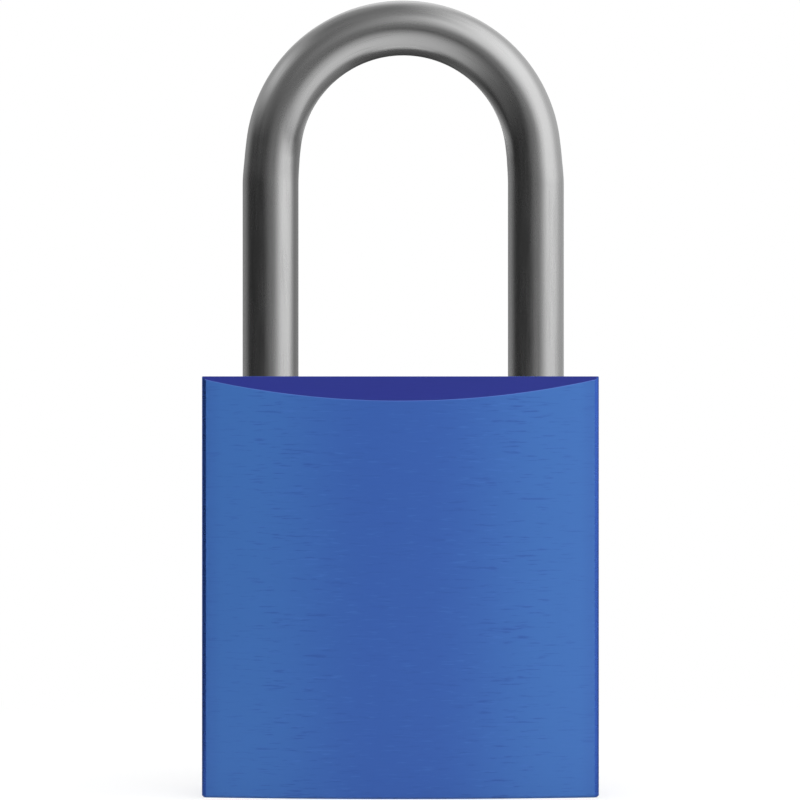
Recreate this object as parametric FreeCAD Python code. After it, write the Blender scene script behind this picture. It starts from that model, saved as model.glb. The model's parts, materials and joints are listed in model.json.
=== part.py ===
import FreeCAD
import Part
import math
import os

# Small keyed padlock: a bowed solid-aluminium body, a round-wire shackle locked by two steel balls,
# and a four-pin cylinder in a pear-shaped housing pushed in from below.
# Millimetres.  Origin at the middle of the body's bottom face, +Z up, front face towards -Y,
# heel (long, captive) leg on -X, toe (short) leg on +X.
# Rest: shackle pressed home, plug at its open stop, both balls drawn in.
# The lock is laid out from the inside out: the pin row, the screw and the cam stack up to the
# height of the body, and the cylinder, the wire and the walls beside them add up to its width.

Vector = FreeCAD.Vector
along_x = Vector(1, 0, 0)
along_y = Vector(0, 1, 0)
along_z = Vector(0, 0, 1)
origin = Vector(0, 0, 0)

# Driving dimensions: body
body_depth = 14.5            # front to back over the crown of the bowed faces
face_bow = 1.55              # how far a face stands proud in the middle
side_wall = 2.35             # outside each leg hole
inner_wall = 1.7             # between the cylinder pocket and the leg holes
side_edge_radius = 0.4
top_bevel = 1.73             # 45 degree bevel, measured on the crown
bottom_chamfer = 0.15
pocket_mouth_chamfer = 0.2
hole_mouth_chamfer = 0.3
cut_past = 1.0               # how far a cutting body runs past what it cuts

# Driving dimensions: shackle
wire_diameter = 4.0
shackle_centre_x = 0.2       # the leg holes are bored a little towards the toe side
shackle_clearance = 23.0     # free height above the body when closed
shackle_travel = 10.2
leg_hole_gap = 0.15          # radial, between wire and hole
leg_end_gap = 0.3            # under the toe leg when closed, and over the screw
toe_tip_chamfer = 0.5
heel_tip_chamfer = 0.3
heel_head_length = 1.8
heel_neck_depth = 0.65       # turned groove in which the heel ball runs when the shackle swings
heel_flat_depth = 0.6        # flat that lets the heel ball pass from notch to neck
shackle_spring_length = 5.0  # pressed together under the heel leg
shackle_spring_wire = 0.45
shackle_spring_turns = 7
shackle_spring_sides = 6     # sides of the wire's section

# Driving dimensions: locking balls and cam
ball_diameter = 4.4
ball_drop = 5.2              # ball centres below the top of the body
ball_engagement = 1.15       # how far a locked ball stands inside the wire
ball_open_gap = 0.1          # between a drawn-in ball and what passes it
ball_bore_gap = 0.05
notch_gap = 0.1
cam_gap = 0.05               # between cam and balls
cam_bore_gap = 0.2
cam_end_gap = 0.1
cam_overlap = 0.3            # cam face above and below the balls
cam_hub_length = 4.2
flank_steps = 8
locking_turn = 90.0          # degrees, from open stop to locked

# Driving dimensions: cylinder
cylinder_recess = 0.2        # face of the cylinder above the bottom of the body
plug_diameter = 8.2
plug_gap = 0.05
flange_rim = 0.6             # flange outside the plug
flange_height = 0.9
flange_chamfer = 0.15
plug_end_length = 1.1        # plug behind the housing, with the clip groove
clip_thickness = 0.45
clip_groove_depth = 0.7
clip_rim = 0.6               # clip outside the plug
clip_opening = 70.0          # degrees
clip_gap = 0.04
housing_wall = 1.4
housing_gap = 0.1
housing_chamfer = 0.15
lobe_width = 5.2
tang_width = 1.9
tang_length = 5.4
tang_height = 1.9
tang_gap = 0.06
keyway_width = 1.8
keyway_height = 5.6
keyway_drop = 0.2            # middle of the keyway, away from the pins
keyway_end_wall = 2.0
keyway_lead = 0.25           # bevel round the mouth
ward_depth = 0.65

# Driving dimensions: pin stacks
first_pin_z = 3.1
pin_pitch = 2.9
pin_diameter = 2.2
pin_gap = 0.05
pin_chamfer = 0.25
pin_tip_height = 0.7
pin_tip_diameter = 0.9
key_pin_lengths = (2.5, 3.3, 2.1, 2.9)
key_pin_inset = 0.2          # key pins end this far inside the plug's surface
key_chamber_floor = 0.2      # chamber runs this far past the plug's axis
driver_length = 2.6
driver_gap = 0.04
spring_length = 3.3
spring_wire = 0.22
spring_turns = 4
spring_sides = 4
spring_end_gap = 0.05
cap_length = 0.8
cap_gap = 0.02
cap_inset = 0.35             # cap below the rounded end of the lobe

# Driving dimensions: cylinder screw
screw_diameter = 2.0
screw_head_diameter = 3.6
screw_head_height = 1.4
screw_head_chamfer = 0.2
screw_slot_width = 0.5
screw_slot_depth = 0.6
screw_gap = 0.1
screw_seat = 1.3             # wall of the body under the head
screw_bite = 2.6             # in the housing
screw_tip_gap = 0.15
screw_tip_wall = 0.9         # between the screw's hole and the last pin chamber

# Worked out: widths from the plug outwards
wire_radius = wire_diameter / 2
leg_hole_radius = wire_radius + leg_hole_gap
plug_radius = plug_diameter / 2
plug_bore_radius = plug_radius + plug_gap
flange_radius = plug_radius + flange_rim
housing_radius = plug_bore_radius + housing_wall
pocket_radius = housing_radius + housing_gap
leg_spacing = 2 * (pocket_radius + inner_wall + leg_hole_radius)
body_width = leg_spacing + 2 * (leg_hole_radius + side_wall)
half_width = body_width / 2
half_depth = body_depth / 2
side_half_depth = half_depth - face_bow
heel_x = shackle_centre_x - leg_spacing / 2
toe_x = shackle_centre_x + leg_spacing / 2

# Worked out: pin stacks
pin_radius = pin_diameter / 2
chamber_radius = pin_radius + pin_gap
pin_heights = [first_pin_z + pin_pitch * i for i in range(len(key_pin_lengths))]
driver_start = plug_radius + driver_gap
spring_start = driver_start + driver_length + spring_end_gap
cap_start = spring_start + spring_length + spring_end_gap
lobe_reach = cap_start + cap_length + cap_inset

# Worked out: heights from the bottom up
screw_tip_z = pin_heights[-1] + chamber_radius + screw_tip_wall + screw_tip_gap
cylinder_top_z = screw_tip_z + screw_bite
plug_end_z = cylinder_top_z + plug_end_length
pocket_top_z = plug_end_z - cam_end_gap
screw_seat_z = pocket_top_z + screw_seat
toe_floor_z = screw_seat_z + screw_head_height + leg_end_gap
toe_tip_z = toe_floor_z + leg_end_gap
ball_radius = ball_diameter / 2
cam_half_height = ball_radius + cam_overlap
cam_bottom_z = plug_end_z + cam_end_gap
cam_face_z = cam_bottom_z + cam_hub_length
ball_z = cam_face_z + cam_half_height
cam_top_z = ball_z + cam_half_height
body_height = ball_z + ball_drop
arch_radius = leg_spacing / 2
arch_z = body_height + shackle_clearance - (arch_radius - wire_radius)

# Worked out: places of the balls along X, drawn in and locked
heel_face = -heel_x - wire_radius            # inner face of each leg, from the plug's axis
toe_face = toe_x - wire_radius
heel_ball_open = heel_face + heel_flat_depth - ball_open_gap - ball_radius
heel_ball_locked = heel_face + ball_engagement - ball_radius
toe_ball_open = toe_face - ball_open_gap - ball_radius
toe_ball_locked = toe_face + ball_engagement - ball_radius
cam_nose = toe_ball_locked - ball_radius - cam_gap
cam_bore_radius = max(cam_nose, plug_radius) + cam_bore_gap    # lets the cam and the end of the plug turn

# Worked out: turned neck and head of the heel leg, and the spring under it
neck_radius = wire_radius - heel_neck_depth
ball_reach = math.sqrt(ball_radius ** 2 - (heel_face - heel_ball_open) ** 2)
head_top_z = ball_z - ball_reach - ball_open_gap - shackle_travel
neck_top_z = ball_z + ball_reach + 2 * ball_open_gap - shackle_travel
heel_tip_z = head_top_z - heel_head_length
heel_floor_z = heel_tip_z - shackle_spring_length - 2 * spring_end_gap


def cylinder(radius, z_low, z_high, x=0.0, y=0.0):
    return Part.makeCylinder(radius, z_high - z_low, Vector(x, y, z_low), along_z)


def rod_x(radius, x_low, x_high, z):
    return Part.makeCylinder(radius, x_high - x_low, Vector(x_low, 0, z), along_x)


def block(x_low, x_high, y_low, y_high, z_low, z_high):
    return Part.makeBox(x_high - x_low, y_high - y_low, z_high - z_low, Vector(x_low, y_low, z_low))


def cut_all(shape, tools):
    for tool in tools:
        shape = shape.cut(tool)
    return shape


def turned(shape, degrees):
    copy = shape.copy()
    copy.rotate(origin, along_z, degrees)
    return copy


def rectangle(x_low, x_high, y_low, y_high, z):
    corners = [
        Vector(x_low, y_low, z), Vector(x_high, y_low, z), Vector(x_high, y_high, z), Vector(x_low, y_high, z)]
    return Part.makePolygon(corners + corners[:1])


def chamfer_level(shape, z, size):
    # Chamfers every edge that lies in the level plane at height z.
    level = [e for e in shape.Edges if abs(e.BoundBox.ZMin - z) < 1e-6 and abs(e.BoundBox.ZMax - z) < 1e-6]
    return shape.makeChamfer(size, level)


def coil(radius, wire, length, turns, sides):
    # Spring along +Z from z = 0; its wire is many-sided, to keep the faces few.
    rise = length - wire
    path = Part.makeHelix(rise / turns, rise, radius)
    section = []
    for i in range(sides + 1):
        angle = 2 * math.pi * i / sides
        section.append(Vector(radius + wire / 2 * math.cos(angle), 0, wire / 2 * math.sin(angle)))
    shape = Part.Wire(path.Edges).makePipeShell([Part.makePolygon(section)], True, True)
    shape.translate(Vector(0, 0, wire / 2))
    return shape


# Body

def body_blank():
    corner = Vector(half_width, side_half_depth, 0)
    front_left = Vector(-corner.x, -corner.y, 0)
    front_right = Vector(corner.x, -corner.y, 0)
    back_left = Vector(-corner.x, corner.y, 0)
    outline = Part.Wire([
        Part.Arc(front_left, Vector(0, -half_depth, 0), front_right).toShape(),
        Part.makeLine(front_right, corner),
        Part.Arc(corner, Vector(0, half_depth, 0), back_left).toShape(),
        Part.makeLine(back_left, front_left)])
    blank = Part.Face(outline).extrude(Vector(0, 0, body_height))
    upright = [e for e in blank.Edges if abs(e.BoundBox.ZLength - body_height) < 1e-6]
    return chamfer_level(blank.makeFillet(side_edge_radius, upright), 0, bottom_chamfer)


def bevel_cutter():
    # Wedge over the top front edge: the 45 degree plane meets the crown top_bevel below the top.
    reach = 2 * top_bevel
    edge_y = -half_depth + top_bevel
    side = -half_width - cut_past
    corners = [
        Vector(side, edge_y, body_height),
        Vector(side, edge_y - reach, body_height - reach),
        Vector(side, edge_y - reach, body_height + cut_past),
        Vector(side, edge_y, body_height + cut_past)]
    wedge = Part.Face(Part.makePolygon(corners + corners[:1]))
    return wedge.extrude(Vector(-2 * side, 0, 0))


def leg_hole(x, floor_z):
    hole = cylinder(leg_hole_radius, floor_z, body_height + cut_past, x)
    mouth = Part.makeCone(
        leg_hole_radius, leg_hole_radius + hole_mouth_chamfer, hole_mouth_chamfer,
        Vector(x, 0, body_height - hole_mouth_chamfer), along_z)
    return hole.fuse(mouth)


def pear(radius, lobe_half_width, reach, z_low, z_high):
    # Round barrel with a parallel-sided lobe towards +X that ends in a half round.
    barrel = cylinder(radius, z_low, z_high)
    lobe = block(0, reach - lobe_half_width, -lobe_half_width, lobe_half_width, z_low, z_high)
    lobe_end = cylinder(lobe_half_width, z_low, z_high, reach - lobe_half_width)
    return barrel.fuse([lobe, lobe_end]).removeSplitter()


def ball_pocket(ball_locked, side):
    # Bore from the cam chamber that ends in a ball seat in the wall of the leg hole.
    radius = ball_radius + ball_bore_gap
    direction = Vector(side, 0, 0)
    bore = Part.makeCylinder(radius, ball_locked, Vector(0, 0, ball_z), direction)
    return bore.fuse(Part.makeSphere(radius, Vector(side * ball_locked, 0, ball_z)))


def cylinder_pocket():
    # Pear-shaped pocket from below, with a bevelled mouth.
    pocket = pear(pocket_radius, lobe_width / 2 + housing_gap, lobe_reach + housing_gap, 0, pocket_top_z)
    mouth = pear(
        pocket_radius + pocket_mouth_chamfer, lobe_width / 2 + housing_gap + pocket_mouth_chamfer,
        lobe_reach + housing_gap + pocket_mouth_chamfer, -cut_past, pocket_mouth_chamfer)
    return pocket.fuse(chamfer_level(mouth, pocket_mouth_chamfer, pocket_mouth_chamfer))


def make_lock_body():
    front_bevel = bevel_cutter()
    return cut_all(body_blank(), [
        front_bevel,
        turned(front_bevel, 180),
        leg_hole(heel_x, heel_floor_z),
        leg_hole(toe_x, toe_floor_z),
        cylinder_pocket(),
        cylinder(cam_bore_radius, pocket_top_z - cut_past, cam_top_z + cam_end_gap),
        ball_pocket(heel_ball_locked, -1),
        ball_pocket(toe_ball_locked, 1),
        cylinder(screw_head_diameter / 2 + screw_gap, screw_seat_z, toe_floor_z + cut_past, toe_x),
        cylinder(screw_diameter / 2 + screw_gap, pocket_top_z - cut_past, screw_seat_z + cut_past, toe_x)])


# Shackle

def leg_blank(x, tip_z, tip_chamfer):
    straight = cylinder(wire_radius, tip_z + tip_chamfer, arch_z, x)
    tip = Part.makeCone(
        wire_radius - tip_chamfer, wire_radius, tip_chamfer, Vector(x, 0, tip_z), along_z)
    return straight.fuse(tip)


def notch(ball_locked, side):
    radius = ball_radius + notch_gap
    half_length = wire_radius + cut_past
    start = Vector(side * ball_locked, -half_length, ball_z)
    return Part.makeCylinder(radius, 2 * half_length, start, along_y)


def make_shackle():
    wire_end = Part.Face(Part.Wire(Part.makeCircle(wire_radius, Vector(toe_x, 0, arch_z), along_z)))
    bow = wire_end.revolve(Vector(shackle_centre_x, 0, arch_z), Vector(0, -1, 0), 180)
    blank = bow.fuse([
        leg_blank(heel_x, heel_tip_z, heel_tip_chamfer),
        leg_blank(toe_x, toe_tip_z, toe_tip_chamfer)]).removeSplitter()
    neck = cylinder(wire_radius + cut_past, head_top_z, neck_top_z, heel_x).cut(
        cylinder(neck_radius, head_top_z, neck_top_z, heel_x))
    flat = block(
        -heel_face - heel_flat_depth, -heel_face + cut_past, -wire_radius, wire_radius,
        (head_top_z + neck_top_z) / 2, ball_z)
    return cut_all(blank, [neck, flat, notch(heel_ball_locked, -1), notch(toe_ball_locked, 1)])


def make_shackle_spring():
    spring = coil(
        wire_radius - shackle_spring_wire, shackle_spring_wire, shackle_spring_length,
        shackle_spring_turns, shackle_spring_sides)
    spring.translate(Vector(heel_x, 0, heel_floor_z + spring_end_gap))
    return spring


# Locking balls and cam

def make_ball(ball_open, side):
    return Part.makeSphere(ball_radius, Vector(side * ball_open, 0, ball_z))


def polar(radius, degrees):
    angle = math.radians(degrees)
    return Vector(radius * math.cos(angle), radius * math.sin(angle), 0)


def flank_point(ball_open, ball_locked, share):
    # The ball's centre winds outwards evenly with the turn; the flank lies one ball radius inside it.
    turn = math.radians(locking_turn)
    distance = ball_open + (ball_locked - ball_open) * share
    slope = (ball_locked - ball_open) / turn
    angle = turn * share
    centre = Vector(distance * math.cos(angle), distance * math.sin(angle), 0)
    tangent = Vector(
        slope * math.cos(angle) - distance * math.sin(angle),
        slope * math.sin(angle) + distance * math.cos(angle), 0)
    tangent.normalize()
    inward = Vector(-tangent.y, tangent.x, 0)
    return centre + inward * (ball_radius + cam_gap)


def cam_side(ball_open, ball_locked, next_nose):
    # Half of the outline, from the nose of the other flank through this ball's seat to its own nose.
    seat_radius = ball_radius + cam_gap
    seat_x = (next_nose ** 2 - seat_radius ** 2 + ball_open ** 2) / (2 * ball_open)
    seat_start = Vector(seat_x, -math.sqrt(next_nose ** 2 - seat_x ** 2), 0)
    seat_middle = Vector(ball_open - seat_radius, 0, 0)
    flank = [flank_point(ball_open, ball_locked, i / flank_steps) for i in range(flank_steps + 1)]
    seat = Part.Arc(seat_start, seat_middle, flank[0])
    rise = Part.BSplineCurve()
    rise.interpolate(flank)
    return [seat, rise], seat_start, flank[-1]


def make_locking_cam():
    toe_curves, toe_start, toe_end = cam_side(
        toe_ball_open, toe_ball_locked, heel_ball_locked - ball_radius - cam_gap)
    heel_curves, heel_start, heel_end = cam_side(
        heel_ball_open, heel_ball_locked, toe_ball_locked - ball_radius - cam_gap)
    edges = [c.toShape() for c in toe_curves]
    for curve in heel_curves:
        edges.append(turned(curve.toShape(), 180))
    edges.append(nose_arc(toe_end, -heel_start))
    edges.append(nose_arc(-heel_end, toe_start))
    outline = Part.Wire(Part.__sortEdges__(edges))
    lobes = Part.Face(outline).extrude(Vector(0, 0, 2 * cam_half_height))
    lobes.translate(Vector(0, 0, cam_face_z))
    hub = cylinder(cam_bore_radius - cam_bore_gap, cam_bottom_z, cam_face_z)
    tang_slot = block(
        -cam_bore_radius, cam_bore_radius, -tang_width / 2 - tang_gap, tang_width / 2 + tang_gap,
        cam_bottom_z - cut_past, plug_end_z + tang_height + tang_gap)
    return lobes.fuse(hub).cut(tang_slot)


def nose_arc(start, end):
    radius = start.Length
    middle_angle = math.degrees(math.atan2(start.y, start.x))
    sweep = math.degrees(math.atan2(end.y, end.x)) - middle_angle
    if sweep < 0:
        sweep += 360
    return Part.Arc(start, polar(radius, middle_angle + sweep / 2), end).toShape()


# Cylinder, built with the pins along +X as when locked; the plug is then turned to its open stop

def keyway():
    # Blade slot with one ward from each side and a bevel round its mouth.
    near = -keyway_drop - keyway_height / 2
    far = near + keyway_height
    side = keyway_width / 2
    step = keyway_height / 8
    points = [
        (near, -side), (near + step, -side), (near + 1.5 * step, ward_depth - side),
        (near + 2.5 * step, ward_depth - side), (near + 3 * step, -side), (far, -side),
        (far, side), (far - 1.5 * step, side), (far - 2 * step, side - ward_depth),
        (far - 3 * step, side - ward_depth), (far - 3.5 * step, side), (near, side)]
    corners = [Vector(x, y, 0) for x, y in points]
    slot = Part.Face(Part.makePolygon(corners + corners[:1])).extrude(
        Vector(0, 0, cylinder_top_z - keyway_end_wall))
    lead = Part.makeLoft([
        rectangle(near - keyway_lead, far + keyway_lead, -side - keyway_lead, side + keyway_lead, cylinder_recess),
        rectangle(near, far, -side, side, cylinder_recess + keyway_lead)], True)
    return slot.fuse(lead)


def make_plug():
    barrel = cylinder(plug_radius, cylinder_recess, plug_end_z)
    flange = cylinder(flange_radius, cylinder_recess, cylinder_recess + flange_height)
    flange = chamfer_level(flange, cylinder_recess, flange_chamfer)
    tang = block(
        -tang_length / 2, tang_length / 2, -tang_width / 2, tang_width / 2,
        plug_end_z, plug_end_z + tang_height)
    groove_low = cylinder_top_z + clip_gap
    groove_high = groove_low + clip_thickness + 2 * clip_gap
    groove = cylinder(plug_radius + cut_past, groove_low, groove_high).cut(
        cylinder(plug_radius - clip_groove_depth, groove_low, groove_high))
    chambers = [rod_x(chamber_radius, -key_chamber_floor, plug_radius + cut_past, z) for z in pin_heights]
    tang = turned(tang, -locking_turn)
    plug = barrel.fuse([flange, tang]).removeSplitter()
    return cut_all(plug, [groove, keyway()] + chambers)


def make_plug_clip():
    low = cylinder_top_z + 2 * clip_gap
    high = low + clip_thickness
    ring = cylinder(plug_radius + clip_rim, low, high).cut(
        cylinder(plug_radius - clip_groove_depth + clip_gap, low, high))
    reach = 2 * plug_radius
    half = math.radians(clip_opening / 2)
    opening = Part.makePolygon([
        Vector(0, 0, low), Vector(-reach, reach * math.tan(half), low),
        Vector(-reach, -reach * math.tan(half), low), Vector(0, 0, low)])
    return ring.cut(Part.Face(opening).extrude(Vector(0, 0, clip_thickness)))


def make_cylinder_housing():
    blank = pear(housing_radius, lobe_width / 2, lobe_reach, cylinder_recess, cylinder_top_z)
    blank = chamfer_level(blank, cylinder_recess, housing_chamfer)
    chambers = [rod_x(chamber_radius, 0, lobe_reach + cut_past, z) for z in pin_heights]
    return cut_all(blank, [
        cylinder(plug_bore_radius, 0, cylinder_top_z + cut_past),
        cylinder(flange_radius + plug_gap, 0, cylinder_recess + flange_height + plug_gap),
        cylinder(screw_diameter / 2 + cap_gap, screw_tip_z - screw_tip_gap, cylinder_top_z + cut_past, toe_x)
        ] + chambers)


# Pin stacks along +X

def pin_blank(inner_x, length, tip_height, z):
    # Pin with a pointed inner end and a chamfered outer end, turned about its axis.
    outer_x = inner_x + length
    tip_radius = pin_tip_diameter / 2
    profile = Part.makePolygon([
        Vector(inner_x, 0, z), Vector(inner_x, 0, z + tip_radius),
        Vector(inner_x + tip_height, 0, z + pin_radius),
        Vector(outer_x - pin_chamfer, 0, z + pin_radius),
        Vector(outer_x, 0, z + pin_radius - pin_chamfer), Vector(outer_x, 0, z),
        Vector(inner_x, 0, z)])
    return Part.Face(profile).revolve(Vector(inner_x, 0, z), along_x, 360)


def make_key_pin(index):
    length = key_pin_lengths[index]
    return pin_blank(plug_radius - key_pin_inset - length, length, pin_tip_height, pin_heights[index])


def make_driver_pin(index):
    pin = rod_x(pin_radius, driver_start, driver_start + driver_length, pin_heights[index])
    rims = [e for e in pin.Edges if e.BoundBox.XLength < 1e-6]
    return pin.makeChamfer(pin_chamfer, rims)


def make_pin_spring(index):
    spring = coil(pin_radius - spring_wire, spring_wire, spring_length, spring_turns, spring_sides)
    spring.rotate(origin, along_y, 90)
    spring.translate(Vector(spring_start, 0, pin_heights[index]))
    return spring


def make_chamber_cap(index):
    return rod_x(chamber_radius - cap_gap, cap_start, cap_start + cap_length, pin_heights[index])


# Cylinder screw, reached through the toe hole

def make_cylinder_screw():
    head_top = screw_seat_z + screw_head_height
    head = cylinder(screw_head_diameter / 2, screw_seat_z, head_top, toe_x)
    head = chamfer_level(head, head_top, screw_head_chamfer)
    shank = cylinder(screw_diameter / 2, screw_tip_z, screw_seat_z, toe_x)
    slot = block(
        toe_x - screw_head_diameter, toe_x + screw_head_diameter,
        -screw_slot_width / 2, screw_slot_width / 2, head_top - screw_slot_depth, head_top + cut_past)
    return head.fuse(shank).cut(slot)


def save(name, shape):
    solids = shape.Solids
    if len(solids) != 1 or not solids[0].isValid():
        raise ValueError(name + " is not one valid solid")
    solids[0].exportStep(os.path.join("parts", name + ".step"))
    print(name, round(solids[0].Volume, 2))


os.makedirs("parts", exist_ok=True)
save("lock_body", make_lock_body())
save("shackle", make_shackle())
save("shackle_spring", make_shackle_spring())
save("cylinder_housing", make_cylinder_housing())
save("plug", turned(make_plug(), locking_turn))
save("plug_clip", turned(make_plug_clip(), locking_turn))
save("locking_cam", make_locking_cam())
save("heel_ball", make_ball(heel_ball_open, -1))
save("toe_ball", make_ball(toe_ball_open, 1))
save("cylinder_screw", make_cylinder_screw())
for number in range(len(key_pin_lengths)):
    label = str(number + 1)
    save("key_pin_" + label, turned(make_key_pin(number), locking_turn))
    save("driver_pin_" + label, make_driver_pin(number))
    save("pin_spring_" + label, make_pin_spring(number))
    save("chamber_cap_" + label, make_chamber_cap(number))
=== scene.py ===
import bpy
import bmesh
import json
import math
import numpy as np
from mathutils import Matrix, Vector


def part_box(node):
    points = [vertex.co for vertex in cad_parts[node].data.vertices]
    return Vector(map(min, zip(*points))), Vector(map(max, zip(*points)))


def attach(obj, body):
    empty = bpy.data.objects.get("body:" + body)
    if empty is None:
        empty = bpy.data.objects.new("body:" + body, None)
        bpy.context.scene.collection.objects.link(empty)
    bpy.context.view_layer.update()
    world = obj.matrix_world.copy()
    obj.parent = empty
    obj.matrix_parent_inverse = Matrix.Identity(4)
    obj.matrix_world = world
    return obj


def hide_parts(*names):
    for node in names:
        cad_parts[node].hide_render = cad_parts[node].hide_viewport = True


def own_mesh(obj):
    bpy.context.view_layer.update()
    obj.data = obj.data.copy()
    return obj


# Small keyed padlock: blue anodised body, bent steel shackle, brass cylinder in the bottom.
# Everything is in metres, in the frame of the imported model.

mm = 0.001
mergeDistance = 1e-7               # points closer than this are one
sharpAngle = math.radians(30)      # edges that turn by more than this stay sharp

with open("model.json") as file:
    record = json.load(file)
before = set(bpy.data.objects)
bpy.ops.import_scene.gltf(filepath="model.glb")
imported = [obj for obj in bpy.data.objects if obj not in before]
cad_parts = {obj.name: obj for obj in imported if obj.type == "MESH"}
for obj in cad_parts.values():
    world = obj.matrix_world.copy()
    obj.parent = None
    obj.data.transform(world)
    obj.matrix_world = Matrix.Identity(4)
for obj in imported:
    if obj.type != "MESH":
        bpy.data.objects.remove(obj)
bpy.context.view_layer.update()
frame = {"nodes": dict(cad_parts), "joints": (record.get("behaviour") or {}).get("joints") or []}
joints = {joint["name"]: joint for joint in frame["joints"]}
print("frame loaded:", len(frame["nodes"]), "nodes")


# Meshes from arrays.

def gridFaces(rows, columns):
    # quads between neighbouring rows and columns, the last column joined to the first
    r, c = np.meshgrid(np.arange(rows - 1), np.arange(columns), indexing="ij")
    nextC = (c + 1) % columns
    return np.stack([r * columns + c, r * columns + nextC,
                     (r + 1) * columns + nextC, (r + 1) * columns + c], axis=-1).reshape(-1, 4)


def meshFromGrid(name, points, capFirst=True, capLast=True):
    # points is rows x columns x 3, each row a closed ring; a cap is one flat face over the first or last
    rows, columns = points.shape[:2]
    faces = gridFaces(rows, columns).tolist()
    if capFirst:
        faces.append(list(range(columns - 1, -1, -1)))
    if capLast:
        faces.append(list(range((rows - 1) * columns, rows * columns)))
    mesh = bpy.data.meshes.new(name)
    mesh.from_pydata(points.reshape(-1, 3).tolist(), [], faces)
    tidyMesh(mesh)
    return mesh


def tidyMesh(mesh):
    # merges doubled points, turns faces outwards, smooths all but the sharp edges
    bm = bmesh.new()
    bm.from_mesh(mesh)
    bmesh.ops.remove_doubles(bm, verts=bm.verts, dist=mergeDistance)
    bmesh.ops.dissolve_degenerate(bm, edges=bm.edges, dist=mergeDistance)
    bmesh.ops.recalc_face_normals(bm, faces=bm.faces)
    bm.to_mesh(mesh)
    bm.free()
    mesh.shade_smooth()
    mesh.set_sharp_from_angle(angle=sharpAngle)


def addObject(name, mesh):
    piece = bpy.data.objects.new(name, mesh)
    bpy.context.scene.collection.objects.link(piece)
    return piece


def turnedSolid(name, profile, x=0.0, segments=96):
    # a profile of (radius, z) carried round a vertical axis at x
    profile = np.array(profile)
    angle = np.linspace(0, 2 * np.pi, segments, endpoint=False)
    points = np.stack([x + profile[:, :1] * np.cos(angle), profile[:, :1] * np.sin(angle),
                       np.repeat(profile[:, 1:], segments, axis=1)], axis=-1)
    return addObject(name, meshFromGrid(name, points))


def cutAway(piece, cutters):
    # takes each cutter out of the piece and bakes the result into its mesh
    for cutter in cutters:
        step = piece.modifiers.new("cut", "BOOLEAN")
        step.operation = "DIFFERENCE"
        step.solver = "EXACT"
        step.object = cutter
    graph = bpy.context.evaluated_depsgraph_get()
    result = bpy.data.meshes.new_from_object(piece.evaluated_get(graph))
    piece.modifiers.clear()
    piece.data = result
    tidyMesh(result)
    for cutter in cutters:
        bpy.data.objects.remove(cutter)


# Lock body.

bodyLook = {
    "sideHalfDepth": 5.7 * mm,     # half the depth at the flat sides
    "cornerRadius": 0.4 * mm,
    "topBevel": 1.73 * mm,         # height and depth of the bevel at the crown
    "bottomChamfer": 0.15 * mm,
    "softEdge": 0.07 * mm,         # radius on every outer edge
    "legHoleGap": 0.15 * mm,
    "mouthRadius": 0.32 * mm,      # of the quarter round at a leg hole's rim
    "mouthTurn": 84,               # degrees of it that are kept
    "mouthPoints": 6,
    "bowColumns": 64,
    "bevelColumns": 7,             # on the corner, up to where the bevel ends
    "sideColumns": 5,              # and from there to the flat side
    "edgeRows": 5,
}


def slerp(start, end, steps):
    # unit vectors evenly turned from start to end, for arrays of starts
    share = np.linspace(0, 1, steps)[:, None, None]
    angle = np.arccos(np.clip((start * end).sum(-1), -1, 1))[None, :, None]
    return (np.sin((1 - share) * angle) * start + np.sin(share * angle) * end) / np.sin(angle)


def bodyQuarter(halfWidth, halfDepth, look):
    # one quarter of the plan: bowed face as a flat arc, corner as an arc tangent to it and to the side;
    # gives points and outward normals from the crown round to the side
    bow = halfDepth - look["sideHalfDepth"]
    bowRadius = (halfWidth ** 2 + bow ** 2) / (2 * bow)
    centreY = bowRadius - halfDepth
    corner = look["cornerRadius"]
    cornerX = halfWidth - corner
    cornerY = centreY - math.sqrt((bowRadius - corner) ** 2 - cornerX ** 2)
    tangent = math.asin(cornerX / (bowRadius - corner))
    soft = look["softEdge"]
    edgeY = halfDepth - look["topBevel"] - soft * (math.sqrt(2) - 1)
    split = math.acos((cornerY + edgeY) / (corner - soft))
    bowAngle = np.linspace(0, tangent, look["bowColumns"])
    onBevel = np.linspace(tangent, split, look["bevelColumns"])[1:]
    onSide = np.linspace(split, math.pi / 2, look["sideColumns"])
    cornerAngle = np.concatenate([onBevel, onSide])
    angle = np.concatenate([bowAngle, cornerAngle])
    x = np.concatenate([bowRadius * np.sin(bowAngle), cornerX + corner * np.sin(cornerAngle)])
    y = np.concatenate([centreY - bowRadius * np.cos(bowAngle), cornerY - corner * np.cos(cornerAngle)])
    beveled = np.arange(len(angle)) < len(bowAngle) + len(onBevel)
    return np.stack([x, y], -1), np.stack([np.sin(angle), -np.cos(angle)], -1), beveled


def bodyOutline(halfWidth, halfDepth, look):
    # the quarter mirrored round to the full loop, anticlockwise from the front crown
    point, normal, beveled = bodyQuarter(halfWidth, halfDepth, look)
    flips = [(1, 1), (1, -1), (-1, -1), (-1, 1)]
    points, normals, flags = [], [], []
    for number, flip in enumerate(flips):
        order = slice(None, None, -1) if number % 2 else slice(None)
        skip = slice(1, None) if number % 2 == 0 and number else slice(None)
        part = (point * flip)[order][skip]
        points.append(part)
        normals.append((normal * flip)[order][skip])
        flags.append(beveled[order][skip])
    return np.concatenate(points)[:-1], np.concatenate(normals)[:-1], np.concatenate(flags)[:-1]


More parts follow.
